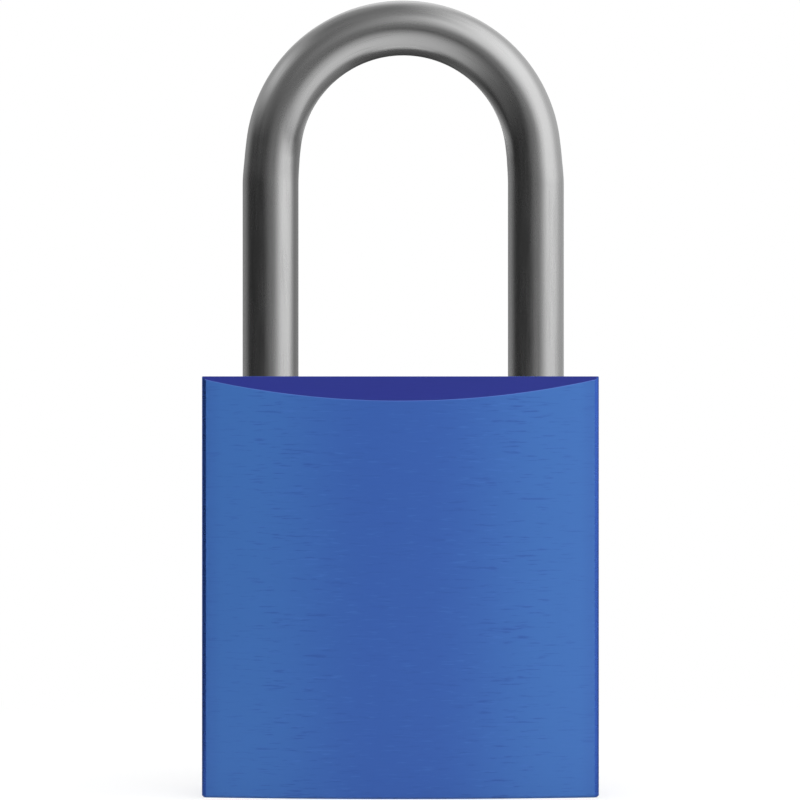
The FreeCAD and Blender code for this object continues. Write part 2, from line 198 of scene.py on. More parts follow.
def bodyBlank(low, high, look):
    # each column runs up the outline: rounded chamfer at the bottom, wall, then over the bevel or the
    # plain top edge; every edge is an arc about a point one soft radius inside both of its faces
    halfWidth, halfDepth, height = (high.x - low.x) / 2, (high.y - low.y) / 2, high.z
    plan, planNormal, beveled = bodyOutline(halfWidth, halfDepth, look)
    count = len(plan)
    soft, rows = look["softEdge"], look["edgeRows"]
    chamfer = look["bottomChamfer"]
    shift = soft * (math.sqrt(2) - 1)
    wall = np.concatenate([planNormal, np.zeros((count, 1))], 1)
    down = np.tile([0.0, 0, -1], (count, 1))
    up = -down
    slant = (wall + down) / math.sqrt(2)
    facing = np.sign(plan[:, 1:])
    bevelUp = np.concatenate([np.zeros((count, 1)), facing, np.ones((count, 1))], 1) / math.sqrt(2)

    def inset(distance, z):
        return np.concatenate([plan - planNormal * distance, np.full((count, 1), float(z))], 1)

    edgeY = halfDepth - look["topBevel"] - shift
    inner = inset(soft, 0)
    wallTop = inner + up * (height - soft - np.maximum(np.abs(inner[:, 1:2]) - edgeY, 0))
    bevelTop = np.concatenate([inner[:, :1], facing * edgeY, np.full((count, 1), height - soft)], 1)
    bottom = inset(chamfer + shift, soft) + soft * slerp(down, slant, rows)
    lowWall = inset(soft, chamfer + shift) + soft * slerp(slant, wall, rows)
    overBevel = np.concatenate([wallTop + soft * slerp(wall, bevelUp, rows),
                                bevelTop + soft * slerp(bevelUp, up, rows)])
    overSide = wallTop + soft * slerp(wall, up, 2 * rows)
    top = np.where(beveled[None, :, None], overBevel, overSide)
    return meshFromGrid("lock_body_blank", np.concatenate([bottom, lowWall, top]))


def roundedMouth(radius, floorZ, topZ, look):
    # profile of a hole whose rim rolls outwards in a quarter round that ends just short of the flat
    mouth = look["mouthRadius"]
    turn = np.radians(np.linspace(0, look["mouthTurn"], look["mouthPoints"]))
    rim = [(radius + mouth * (1 - math.cos(a)), topZ - mouth + mouth * math.sin(a)) for a in turn]
    return [(radius, floorZ)] + rim + [(radius + mouth, topZ + mouth)]


def pearOutline(radius, halfLobe, reach, segments=48):
    # round barrel with a parallel lobe towards +X that ends in a half round
    start = math.asin(halfLobe / radius)
    barrel = np.linspace(start, 2 * math.pi - start, segments)
    end = np.linspace(-math.pi / 2, math.pi / 2, segments // 2)
    x = np.concatenate([radius * np.cos(barrel), reach - halfLobe + halfLobe * np.cos(end)])
    y = np.concatenate([radius * np.sin(barrel), halfLobe * np.sin(end)])
    return np.stack([x, y], -1)


def pearPrism(name, shape, rows):
    # the pear outline carried up through rows of (growth, z)
    radius, halfLobe, reach = shape
    levels = []
    for growth, z in rows:
        outline = pearOutline(radius + growth, halfLobe + growth, reach + growth)
        levels.append(np.concatenate([outline, np.full((len(outline), 1), z)], 1))
    return addObject(name, meshFromGrid(name, np.stack(levels)))


shackleLow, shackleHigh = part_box("shackle")
bodyLow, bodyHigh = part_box("lock_body")
ballLow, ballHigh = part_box("heel_ball")
toeBallLow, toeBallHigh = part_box("toe_ball")
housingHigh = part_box("cylinder_housing")[1]
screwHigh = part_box("cylinder_screw")[1]
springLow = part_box("shackle_spring")[0]
camLow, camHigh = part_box("locking_cam")
wireRadius = shackleHigh.y
heelX = shackleLow.x + wireRadius
toeX = shackleHigh.x - wireRadius
ballRadius = (ballHigh.z - ballLow.z) / 2
ballZ = (ballHigh.z + ballLow.z) / 2
toeTravel = joints["toe_ball_slide"]["range_m"][1]
heelTravel = joints["heel_ball_slide"]["range_m"][1]
toeBallLocked = (toeBallLow.x + toeBallHigh.x) / 2 + toeTravel
heelBallLocked = (ballLow.x + ballHigh.x) / 2 - heelTravel

cylinderFit = {
    "gap": 0.1 * mm,            # between housing and pocket
    "halfLobe": 2.6 * mm,
    "mouth": 0.1 * mm,          # broken edge of the pocket
    "toeDepth": 9.1 * mm,       # floor of the toe hole below the top of the body
    "legEndGap": 0.3 * mm,      # between that floor and the toe's tip
    "screwHead": 1.4 * mm,      # seat below the top of the screw's box
    "springSeat": 0.05 * mm,    # below the lowest turn of the shackle spring
    "camGap": 0.2 * mm,
    "ballGap": 0.05 * mm,
}


def makeLockBody():
    fit = cylinderFit
    piece = addObject("lock_body_shell", bodyBlank(bodyLow, bodyHigh, bodyLook))
    holeRadius = wireRadius + bodyLook["legHoleGap"]
    heelFloor = springLow.z - fit["springSeat"]
    toeFloor = bodyHigh.z - fit["toeDepth"]
    pear = (housingHigh.y + fit["gap"], fit["halfLobe"] + fit["gap"], housingHigh.x + fit["gap"])
    pocketTop = camLow.z - fit["gap"]
    camRadius = camHigh.x + fit["camGap"]
    screwRadius = screwHigh.y + fit["gap"]
    cutters = [
        turnedSolid("heelHole", roundedMouth(holeRadius, heelFloor, bodyHigh.z, bodyLook), heelX),
        turnedSolid("toeHole", roundedMouth(holeRadius, toeFloor, bodyHigh.z, bodyLook), toeX),
        pearPrism("pocket", pear, [(fit["mouth"] * 2, -fit["mouth"]), (0, fit["mouth"]), (0, pocketTop)]),
        turnedSolid("camBore", [(camRadius, pocketTop - mm), (camRadius, camHigh.z + fit["gap"])]),
        ballBore("heelBore", heelBallLocked, -1),
        ballBore("toeBore", toeBallLocked, 1),
        turnedSolid("screwSeat", [(screwRadius, screwHigh.z - fit["screwHead"]),
                                  (screwRadius, toeFloor + mm)], toeX),
    ]
    cutAway(piece, cutters)
    return piece


def ballBore(name, lockedX, side, segments=64):
    # bore along X from the cam chamber, closed by a half ball round the locked ball's centre
    radius = ballRadius + cylinderFit["ballGap"]
    turn = np.linspace(0, np.pi / 2, 17)[:-1]
    along = np.concatenate([[0], abs(lockedX) + radius * np.sin(turn)])
    across = np.concatenate([[radius], radius * np.cos(turn)])
    angle = np.linspace(0, 2 * np.pi, segments, endpoint=False)
    points = np.stack([np.repeat((side * along)[:, None], segments, axis=1),
                       across[:, None] * np.cos(angle), ballZ + across[:, None] * np.sin(angle)], axis=-1)
    return addObject(name, meshFromGrid(name, points))


# Shackle.

shackleLook = {
    "ringPoints": 96,
    "bowRows": 160,
    "bowThinning": 0.035 * mm,     # the rod draws thinner round the bend
    "bowTuck": 0.165 * mm,         # and the bend pulls the legs' line in
    "bowDrop": 0.06 * mm,          # top of the bow below the top of its CAD box
    "tuckStart": -1.9 * mm,        # where both begin and end, along the rod from the start of the bow
    "tuckEnd": 1.15 * mm,
    "tuckRows": 30,
    "tipRows": 6,
    "legRows": 60,
    "notchRows": 81,
    "toeChamfer": 0.5 * mm,
    "heelChamfer": 0.3 * mm,
    "headLength": 1.8 * mm,        # full round head at the heel's tip
    "neckLength": 3.03 * mm,       # thinner neck above it, in which the open shackle turns
    "neckDepth": 0.65 * mm,
    "flatDepth": 0.6 * mm,         # flat from the neck to the notch
    "notchGap": 0.1 * mm,          # between a locked ball and its notch
    "engagement": 1.15 * mm,       # how far a locked ball reaches into the leg
}


def smoothStep(low, high, value):
    # 0 below low, 1 above high, three squares less two cubes of the share between them
    share = np.clip((value - low) / (high - low), 0, 1)
    return share * share * (3 - 2 * share)


def legRows(tipZ, topZ, chamfer, marks):
    # heights along a leg: close together at the tip and near each mark, wide apart elsewhere
    heights = [np.linspace(tipZ, tipZ + chamfer, shackleLook["tipRows"]),
               np.linspace(tipZ + chamfer, topZ, shackleLook["legRows"])]
    for low, high, count in marks:
        heights.append(np.linspace(low, high, count))
    return np.unique(np.round(np.concatenate(heights), 7))


def makeShackle():
    # rod: a circle carried up the heel leg, round the bow and down the toe leg; the radius and the
    # farthest reach towards the inner side vary along it
    look = shackleLook
    centreX = (heelX + toeX) / 2
    bowRadius = (toeX - heelX) / 2
    bowTop = shackleHigh.z - look["bowDrop"]
    bowZ = bowTop - (bowRadius - look["bowTuck"]) - (wireRadius - look["bowThinning"])
    headTop = shackleLow.z + look["headLength"]
    neckTop = headTop + look["neckLength"]
    notchRadius = ballRadius + look["notchGap"]
    notchCentre = wireRadius - look["engagement"] + ballRadius
    toeTip = bodyHigh.z - cylinderFit["toeDepth"] + cylinderFit["legEndGap"]
    step = 1e-6                    # height over which the radius changes at the neck
    bothMarks = [(ballZ - notchRadius, ballZ + notchRadius, look["notchRows"]),
                 (bowZ + look["tuckStart"], bowZ, look["tuckRows"])]
    neckMarks = [(headTop - step, headTop, 2), (neckTop, neckTop + step, 2)]
    heelZ = legRows(shackleLow.z, bowZ, look["heelChamfer"], neckMarks + bothMarks)[:-1]
    toeZ = legRows(toeTip, bowZ, look["toeChamfer"], bothMarks)[:-1][::-1]
    bowAngle = np.linspace(0, np.pi, look["bowRows"])

    def bent(along):
        # how much of the tuck and the thinning is reached
        return smoothStep(look["tuckStart"], look["tuckEnd"], along)

    def legRadius(z, tip, chamfer):
        # wire radius less the thinning, and less the depth into the chamfer at the tip
        return wireRadius - look["bowThinning"] * bent(z - bowZ) - np.maximum(tip + chamfer - z, 0)

    def notchLimit(z):
        # reach beside a notch: up to a circle round the locked ball's centre
        depth = np.sqrt(np.maximum(notchRadius ** 2 - (z - ballZ) ** 2, 0))
        return np.where(depth > 0, notchCentre - depth, wireRadius)

    onNeck = (heelZ > headTop - step / 2) & (heelZ < neckTop + step / 2)
    heelR = np.where(onNeck, wireRadius - look["neckDepth"],
                     legRadius(heelZ, shackleLow.z, look["heelChamfer"]))
    onFlat = (heelZ > neckTop) & (heelZ < ballZ)
    heelLimit = np.where(onFlat, wireRadius - look["flatDepth"], wireRadius)
    heelLimit = np.minimum(heelLimit, notchLimit(heelZ))
    bend = bent(bowRadius * np.minimum(bowAngle, np.pi - bowAngle))
    bowR = bowRadius - look["bowTuck"] * bend
    centre = np.concatenate([
        np.stack([heelX + look["bowTuck"] * bent(heelZ - bowZ), heelZ], -1),
        np.stack([centreX - bowR * np.cos(bowAngle), bowZ + bowR * np.sin(bowAngle)], -1),
        np.stack([toeX - look["bowTuck"] * bent(toeZ - bowZ), toeZ], -1)])
    inward = np.concatenate([
        np.tile([1.0, 0], (len(heelZ), 1)),
        np.stack([np.cos(bowAngle), -np.sin(bowAngle)], -1),
        np.tile([-1.0, 0], (len(toeZ), 1))])
    radius = np.concatenate([heelR, wireRadius - look["bowThinning"] * bend,
                             legRadius(toeZ, toeTip, look["toeChamfer"])])
    limit = np.concatenate([heelLimit, np.full(len(bowAngle), wireRadius), notchLimit(toeZ)])
    angle = np.linspace(0, 2 * np.pi, look["ringPoints"], endpoint=False)
    reach = np.minimum(radius[:, None] * np.cos(angle), limit[:, None])
    side = radius[:, None] * np.sin(angle)
    points = np.stack([centre[:, :1] + inward[:, :1] * reach, side,
                       centre[:, 1:] + inward[:, 1:] * reach], -1)
    piece = addObject("shackle_rod", meshFromGrid("shackle_rod", points))
    addUnbent(piece.data, centreX, bowZ, bowRadius)
    return piece


def addUnbent(mesh, centreX, bowZ, bowRadius):
    # each point as it lies on the straight rod before bending: reach inwards, y, and length along the
    # rod from the start of the bow, which is below 0 down the heel leg, the turned angle times the
    # radius on the bow, and that of the half turn plus the depth on the toe leg
    point = np.zeros(len(mesh.vertices) * 3)
    mesh.vertices.foreach_get("co", point)
    x, y, z = point.reshape(-1, 3).T
    aside, above = centreX - x, z - bowZ
    turned = np.where(above > 0, np.arctan2(above, aside), np.where(aside > 0, 0, np.pi))
    inward = np.where(above > 0, bowRadius - np.hypot(aside, above), bowRadius - np.abs(aside))
    along = bowRadius * turned + np.where(above > 0, 0, np.where(aside > 0, above, -above))
    values = np.stack([inward, y, along], -1).astype(np.float32)
    attribute = mesh.attributes.new("unbent", "FLOAT_VECTOR", "POINT")
    attribute.data.foreach_set("vector", values.ravel())


# Springs.

springs = {
    "pin": {"wire": 0.22 * mm, "turns": 5.5, "axis": (1, 0, 0)},
    "shackle": {"wire": 0.45 * mm, "turns": 8, "axis": (0, 0, 1)},
    "opening": (0.8, 1.2),         # turns from each end over which the coil opens
    "rowsPerTurn": 28,
    "ringPoints": 10,
}


def makeSpring(node, kind):
    # coil that fills the node's box: a round wire carried round a circle that moves along the axis, a
    # wire's width a turn over the first and last turn and faster between, so that both ends close
    look, rows, ring = springs[kind], springs["rowsPerTurn"], springs["ringPoints"]
    low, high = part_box(node)
    axis = np.array(look["axis"], float)
    first = np.roll(axis, 1)
    second = np.cross(axis, first)
    wire = look["wire"] / 2
    middle = np.array((low + high) / 2)
    size = np.array(high - low)
    length = size @ axis - 2 * wire
    radius = size @ first / 2 - wire
    turn = np.linspace(0, look["turns"], int(look["turns"] * rows) + 1)
    ends = springs["opening"]
    opening = smoothStep(*ends, turn) * smoothStep(*ends, look["turns"] - turn)
    closed = 2 * wire * turn
    opened = np.cumsum(opening) - opening[0]
    along = closed + opened / opened[-1] * (length - closed[-1])
    angle = 2 * np.pi * turn[:, None]
    outward = first * np.cos(angle) + second * np.sin(angle)
    centre = middle + outward * radius + axis * (along - length / 2)[:, None]
    around = np.linspace(0, 2 * np.pi, ring, endpoint=False)[None, :, None]
    points = centre[:, None] + wire * (outward[:, None] * np.cos(around) + axis * np.sin(around))
    piece = addObject(node + "_coil", meshFromGrid(node + "_coil", points))
    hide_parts(node)
    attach(piece, "body")
    return piece


def pressWithDriver(piece):
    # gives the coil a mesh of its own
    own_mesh(piece)


# Shader helpers.

class Tree:
    # a node tree, with short ways to add nodes; a value is a number, a tuple or another node's output

    def __init__(self, nodeTree):
        self.nodes, self.links = nodeTree.nodes, nodeTree.links

    def feed(self, socket, value):
        if isinstance(value, (int, float, tuple)):
            socket.default_value = value
        else:
            self.links.new(value, socket)

    def add(self, kind, settings=None, **inputs):
        node = self.nodes.new(kind)
        for key, value in (settings or {}).items():
            setattr(node, key, value)
        for key, value in inputs.items():
            self.feed(node.inputs[key], value)
        return node

    def inOrder(self, kind, settings, values):
        node = self.add(kind, settings)
        for socket, value in zip(node.inputs, values):
            self.feed(socket, value)
        return node.outputs

    def math(self, operation, *values):
        return self.inOrder("ShaderNodeMath", {"operation": operation}, values)[0]

    def product(self, first, *others):
        for other in others:
            first = self.math("MULTIPLY", first, other)
        return first

    def vector(self, operation, *values):
        outputs = self.inOrder("ShaderNodeVectorMath", {"operation": operation}, values)
        return outputs["Value" if operation in ("LENGTH", "DISTANCE") else "Vector"]

    def mixShaders(self, share, first, second):
        return self.inOrder("ShaderNodeMixShader", None, (share, first, second))[0]

    def split(self, vector):
        return self.add("ShaderNodeSeparateXYZ", Vector=vector).outputs

    def ramp(self, value, low, high, start=0.0, end=1.0, smooth=True):
        # start below low, end above high, and a smooth or straight change between them
        node = self.add("ShaderNodeMapRange", {"interpolation_type": "SMOOTHSTEP" if smooth else "LINEAR"})
        names = ("Value", "From Min", "From Max", "To Min", "To Max")
        for name, given in zip(names, (value, low, high, start, end)):
            self.feed(node.inputs[name], given)
        return node.outputs["Result"]

    def aroundMiddle(self, noise, middle, spread):
        # a value that follows the noise from below its middle to above it
        return self.ramp(noise, *noiseRange, middle + spread[0], middle + spread[1], False)

    def tint(self, base, colour, share):
        # goes from base to colour by share
        node = self.add("ShaderNodeMix", {"data_type": "RGBA"}, A=base, B=colour, Factor=share)
        return node.outputs["Result"]

    def bump(self, shader, height, distance):
        bump = self.add("ShaderNodeBump", Strength=1.0, Distance=distance, Height=height)
        self.feed(shader.inputs["Normal"], bump.outputs["Normal"])

    def group(self, group, **inputs):
        # the group as a node, its inputs named without their spaces
        node = self.nodes.new("ShaderNodeGroup")
        node.node_tree = group
        for key, value in inputs.items():
            self.feed(next(s for s in node.inputs if s.name.replace(" ", "") == key), value)
        return node.outputs


noiseRange = (0.25, 0.75)      # where nearly all of a noise's values lie


def newMaterial(name):
    material = bpy.data.materials.new(name)
    material.use_nodes = True
    tree = Tree(material.node_tree)
    return material, tree, tree.nodes["Principled BSDF"]


def makeGroup(name, inputs, outputs):
    # an empty group with its sockets: the group, its tree, what it is given and what it returns
    group = bpy.data.node_groups.new(name, "ShaderNodeTree")
    for socketName, socketType, value in inputs:
        socket = group.interface.new_socket(socketName, in_out="INPUT", socket_type=socketType)
        if value is not None:
            socket.default_value = value
    for socketName, socketType in outputs:
        group.interface.new_socket(socketName, in_out="OUTPUT", socket_type=socketType)
    tree = Tree(group)
    return group, tree, tree.add("NodeGroupInput").outputs, tree.add("NodeGroupOutput").inputs


def makeMarksGroup():
    # fine marks: noise stretched by the scale vector; Marks keeps only its highest share as separate
    # soft dashes, Grain is the noise itself
    group, tree, given, result = makeGroup(
        "fineMarks",
        [("Vector", "NodeSocketVector", None), ("Scale", "NodeSocketVector", (1.0, 1.0, 1.0)),
         ("Level", "NodeSocketFloat", 0.6), ("Soft", "NodeSocketFloat", 0.12)],
        [("Marks", "NodeSocketFloat"), ("Grain", "NodeSocketFloat")])
    scaled = tree.vector("MULTIPLY", given["Vector"], given["Scale"])
    noise = tree.add("ShaderNodeTexNoise", Vector=scaled, Scale=1.0, Detail=2.0, Roughness=0.5)
    high = tree.math("ADD", given["Level"], given["Soft"])
    tree.feed(result["Marks"], tree.ramp(noise.outputs["Fac"], given["Level"], high))
    tree.feed(result["Grain"], noise.outputs["Fac"])
    return group


def makeRingsGroup():
    # turning marks: noise that changes only with the distance from the vertical axis through the origin
    group, tree, given, result = makeGroup(
        "turnedRings",
        [("Vector", "NodeSocketVector", None), ("Pitch", "NodeSocketFloat", 0.1 * mm)],
        [("Rings", "NodeSocketFloat")])
    away = tree.vector("LENGTH", tree.vector("MULTIPLY", given["Vector"], (1.0, 1.0, 0.0)))
    noise = tree.add("ShaderNodeTexNoise", {"noise_dimensions": "1D"},
                     W=tree.math("DIVIDE", away, given["Pitch"]), Scale=1.0, Detail=2.0, Roughness=0.6)
    tree.feed(result["Rings"], noise.outputs["Fac"])
    return group


fineMarks = makeMarksGroup()
turnedRings = makeRingsGroup()

# Materials. A ramp is written as from and to, or as from, to, start level and end level.

anodised = {
    "faceColour": (0.0300, 0.099, 0.378, 1),
    "paleColour": (0.0405, 0.139, 0.425, 1),     # painted sheen, lighter towards the sides of the bowed face
    "palePlace": (1.5 * mm, 11 * mm),            # distances from the middle
    "rimColour": (0.0372, 0.125, 0.400, 1),      # painted sheen, a little weaker over the last millimetre before the corners
    "rimPlace": (12.5 * mm, 13.6 * mm),
    # painted shade on the bevel and, a quarter as strong, on the flat top
    "bevelColour": (0.0137, 0.0225, 0.208, 1),
    "bevelRise": (0.3, 0.6),                     # the upward part of the normal on the bevel, which gets painted shade
    "topRise": (0.78, 0.95, 1.0, 0.25),          # and on the flat top, which gets a quarter of that painted shade
    "edgeColour": (0.105, 0.205, 0.600, 1),      # painted highlight along the lower edge of the bevel
    "edgeRise": (0.05, 0.2),
    "edgeEnd": (0.35, 0.55, 1.0, 0.0),
    "cornerColour": (0.045, 0.120, 0.505, 1),
    "cornerTurn": (0.225, 0.34),                 # the sideways part of the normal on the corners
    "cornerEnd": (0.9, 0.995, 1.0, 0.0),
    "metallic": 0.35,
    "cornerMetallic": 0.88,                      # the corners are left brighter and mirror more
    "roughness": 0.45,
    "cornerRoughness": 0.28,
    "spread": (-0.04, 0.06),
    "grainDepth": 0.004 * mm,
    "darkMark": (0.0255, 0.085, 0.336, 1),
    "paleMark": (0.0430, 0.136, 0.440, 1),
    "markScale": (640.0, 640.0, 7000.0),         # per metre; long along X, thin upright
    "paleScale": (800.0, 800.0, 7500.0),
    "paleShift": (0.31, 0.17, 0.23),             # so that pale marks don't follow the dark ones
    "markLevel": 0.57,
    "paleLevel": 0.58,
    "markSoft": 0.16,
    "markStart": (1.5 * mm, 7 * mm, 0.5, 0.9),   # how strong the marks are, by distance from the middle
    "markEnd": (8 * mm, 13 * mm, 1.0, 0.4),
    "flatRise": (0.5, 0.7),                      # where the marks turn to run along X on top and bottom
}


def makeAnodised():
    # dyed metal: fine dark and pale marks on the faces, a painted sheen towards their sides, painted shade on
    # the bevel and top, a painted highlight on the bevel's lower edge, corners in a tone of their own
    look = anodised
    material, tree, shader = newMaterial("blueAnodised")
    place = tree.add("ShaderNodeTexCoord").outputs
    facing, where = tree.split(place["Normal"]), tree.split(place["Object"])
    aside = tree.math("ABSOLUTE", facing["X"])
    outwards = tree.math("ABSOLUTE", where["X"])
    flat = tree.ramp(tree.math("ABSOLUTE", facing["Z"]), *look["flatRise"])
    upright = tree.math("ADD", where["Z"], tree.product(where["Y"], flat))
    brushed = tree.add("ShaderNodeCombineXYZ", X=where["X"], Y=where["Y"], Z=upright).outputs[0]
    dark = tree.group(fineMarks, Vector=brushed, Scale=look["markScale"], Level=look["markLevel"],
                      Soft=look["markSoft"])
    pale = tree.group(fineMarks, Vector=tree.vector("ADD", brushed, look["paleShift"]),
                      Scale=look["paleScale"], Level=look["paleLevel"], Soft=look["markSoft"])
    markShare = tree.product(tree.ramp(outwards, *look["markStart"]), tree.ramp(outwards, *look["markEnd"]))
    # painted sheen: lighter towards the sides of the bowed face, a little weaker just before the corners
    colour = tree.tint(look["faceColour"], look["paleColour"], tree.ramp(outwards, *look["palePlace"]))
    colour = tree.tint(colour, look["rimColour"], tree.ramp(outwards, *look["rimPlace"]))
    colour = tree.tint(colour, look["darkMark"], tree.product(dark["Marks"], markShare))
    colour = tree.tint(colour, look["paleMark"], tree.product(pale["Marks"], markShare))
    # painted highlight along the lower edge of the bevel
    edge = tree.product(tree.ramp(facing["Z"], *look["edgeRise"]), tree.ramp(facing["Z"], *look["edgeEnd"]))
    colour = tree.tint(colour, look["edgeColour"], edge)
    # painted shade on the bevel and, a quarter as strong, on the flat top
    bevel = tree.product(tree.ramp(facing["Z"], *look["bevelRise"]), tree.ramp(facing["Z"], *look["topRise"]))
    colour = tree.tint(colour, look["bevelColour"], bevel)
    corner = tree.product(tree.ramp(aside, *look["cornerTurn"]), tree.ramp(aside, *look["cornerEnd"]))
    tree.feed(shader.inputs["Base Color"], tree.tint(colour, look["cornerColour"], corner))
    tree.feed(shader.inputs["Metallic"],
              tree.ramp(corner, 0.0, 1.0, look["metallic"], look["cornerMetallic"], False))
    grain = tree.aroundMiddle(dark["Grain"], 0.0, look["spread"])
    smoother = tree.ramp(corner, 0.0, 1.0, look["roughness"], look["cornerRoughness"], False)
    tree.feed(shader.inputs["Roughness"], tree.math("ADD", grain, smoother))
    tree.bump(shader, dark["Grain"], look["grainDepth"])
    return material


steels = {
    "shackle": {"colour": (0.60, 0.60, 0.60, 1), "mark": (0.56, 0.56, 0.56, 1), "roughness": 0.245,
                "scale": (4200.0, 4200.0, 260.0), "bump": 0.0006 * mm, "attribute": "unbent",
                # the shackle's shade is painted shade on the inner side of its heel leg
                "shade": (0.30, 0.30, 0.30, 1), "shadeReach": (1.35 * mm, 1.80 * mm),
                "shadeEnd": (1 * mm, 3.5 * mm, 1.0, 0.0)},
    "ground": {"colour": (0.56, 0.56, 0.57, 1), "mark": (0.44, 0.44, 0.45, 1), "roughness": 0.33,
               "scale": (2600.0, 2600.0, 2600.0), "bump": 0.003 * mm},
    "polished": {"colour": (0.66, 0.66, 0.67, 1), "mark": (0.60, 0.60, 0.61, 1), "roughness": 0.12,
                 "scale": (2000.0, 2000.0, 2000.0), "bump": 0.0004 * mm},
    "springWire": {"colour": (0.50, 0.50, 0.52, 1), "mark": (0.36, 0.36, 0.37, 1), "roughness": 0.22,
                   "scale": (3000.0, 3000.0, 3000.0), "bump": 0.001 * mm},
    "zinc": {"colour": (0.55, 0.56, 0.56, 1), "mark": (0.42, 0.42, 0.40, 1), "roughness": 0.38,
             "scale": (1500.0, 1500.0, 1500.0), "bump": 0.004 * mm},
}
steelMarks = {"Level": 0.55, "Soft": 0.2}
steelSpread = (-0.03, 0.05)


def makeSteel(name):
    # satin steel: marks a little darker and rougher than the ground, with a grain that the scale vector
    # sets, on the object's own coordinates or on a named attribute of its mesh
    look = steels[name]
    material, tree, shader = newMaterial(name + "Steel")
    place = tree.add("ShaderNodeTexCoord").outputs["Object"]
    if "attribute" in look:
        place = tree.add("ShaderNodeAttribute", {"attribute_name": look["attribute"]}).outputs["Vector"]
    marks = tree.group(fineMarks, Vector=place, Scale=look["scale"], **steelMarks)
    colour = tree.tint(look["colour"], look["mark"], marks["Marks"])
    if "shade" in look:
        # painted shade on the inner side of the heel leg, up to just past the start of the bow
        unbent = tree.split(place)
        inside, low = tree.ramp(unbent["X"], *look["shadeReach"]), tree.ramp(unbent["Z"], *look["shadeEnd"])
        colour = tree.tint(colour, look["shade"], tree.product(inside, low))
    tree.feed(shader.inputs["Base Color"], colour)
    tree.feed(shader.inputs["Roughness"], tree.aroundMiddle(marks["Grain"], look["roughness"], steelSpread))
    tree.bump(shader, marks["Grain"], look["bump"])
    shader.inputs["Metallic"].default_value = 1.0
    return material


brassLook = {
    "colour": (0.72, 0.50, 0.20, 1),
    "dull": (0.50, 0.33, 0.12, 1),          # handled and slightly tarnished patches
    "patches": {"Scale": (260.0, 260.0, 260.0), "Level": 0.42, "Soft": 0.3},
    "patchShare": 0.6,
    "roughness": 0.27,
    "spread": (-0.05, 0.1),
    "ringPitch": 0.10 * mm,
    "ringDepth": 0.006 * mm,
    "ringShare": (0.35, 0.7, 0.0, 0.35),    # how much a ring dulls the brass, by its noise
    "keyway": (1.6 * mm, 3.6 * mm),         # half width and half length of the box round the keyway
    # painted shade deep in the keyway
    "keywayShade": (0.030, 0.020, 0.008, 1),
    "keywayDepth": (0.1 * mm, 1.8 * mm, 0.0, 0.88),
}


def makeBrass(name, keyway=False):
    # turned brass: rings round a vertical axis, dull patches, fine grain in the gloss; a keyway gets
    # painted shade, darker with depth inside its box
    look = brassLook
    material, tree, shader = newMaterial(name)
    place = tree.add("ShaderNodeTexCoord").outputs["Object"]
    rings = tree.group(turnedRings, Vector=place, Pitch=look["ringPitch"])["Rings"]
    patches = tree.group(fineMarks, Vector=place, **look["patches"])["Marks"]
    dullRings, dullPatches = tree.ramp(rings, *look["ringShare"]), tree.product(patches, look["patchShare"])
    colour = tree.tint(look["colour"], look["dull"], tree.math("ADD", dullPatches, dullRings))
    if keyway:
        where = tree.split(place)
        shade = tree.ramp(where["Z"], *look["keywayDepth"])
        for axis, half in zip("XY", look["keyway"]):
            shade = tree.product(shade, tree.math("LESS_THAN", tree.math("ABSOLUTE", where[axis]), half))
        colour = tree.tint(colour, look["keywayShade"], shade)
    tree.feed(shader.inputs["Base Color"], colour)
    tree.feed(shader.inputs["Roughness"], tree.aroundMiddle(rings, look["roughness"], look["spread"]))
    tree.bump(shader, rings, look["ringDepth"])
    shader.inputs["Metallic"].default_value = 1.0
    return material


# Studio.

studio = {
    "cameraDistance": 0.360,
    "cameraAside": -0.030 * mm,
    "cameraHeight": 28.03 * mm,
    "lens": 226.2,
    "sensorWidth": 36.0,
    "clip": (0.01, 20.0),
    "domeRadius": 0.9,
    "domeColumns": 96,
    "domeRows": 32,
    "domeTop": 89,             # degrees up to its flat cap
    "domeAmbient": 0.03,
    "underLight": 0.55,        # of the world, on what isn't mirrored
    "nadirSlant": 0.6,         # the mirrored world gets darker downwards and towards -X
    "nadir": (-1.1, -0.3, 0.75, 1.0),
    "lampAim": (0, 0, 30 * mm),
    "floorColour": (0.80, 0.80, 0.80, 1),
    "floorRoughness": 0.8,
    "floorRadius": 3.0,
    "floorRings": (0, 0.004, 0.03, 0.2, 1),     # shares of the way out to that radius
    "floorInset": 0.15 * mm,   # how far the floor reaches under the lock
    "floorDrop": 0.05 * mm,    # air under the lock
    "floorWhite": (16 * mm, 110 * mm, 0.70, 1.0),   # where the floor's own shade goes over to white
}

# painted light and shade on the floor that only the steel mirrors, with ramps written as above
pool = {
    "level": 0.80,             # a painted pool of light in front of the lock
    "centre": (35 * mm, -35 * mm, 0.0),
    "radius": 0.12,
    "falloff": 1.5,
    "left": (-60 * mm, -14 * mm, 0.30, 1.0),    # weaker towards -X
    "right": (20 * mm, 260 * mm, 1.0, 2.4),     # stronger towards +X
    "shade": (-15 * mm, 7 * mm, 0.0, 0.82),     # painted shadow: what is taken off under the lock, along Y
    "shadeAside": (20 * mm, 36 * mm, 1.0, 0.72),    # and the share of that further out along X
    "back": (10 * mm, 60 * mm, 0.0, 0.16),      # a second painted pool on each side of the painted dark strip behind
    "farBack": (80 * mm, 170 * mm, 0.0, 0.26),
    "strip": (0.12, 0.45),                      # edges of that strip, X over Y
    "white": (150 * mm, 700 * mm),              # and white far behind
}

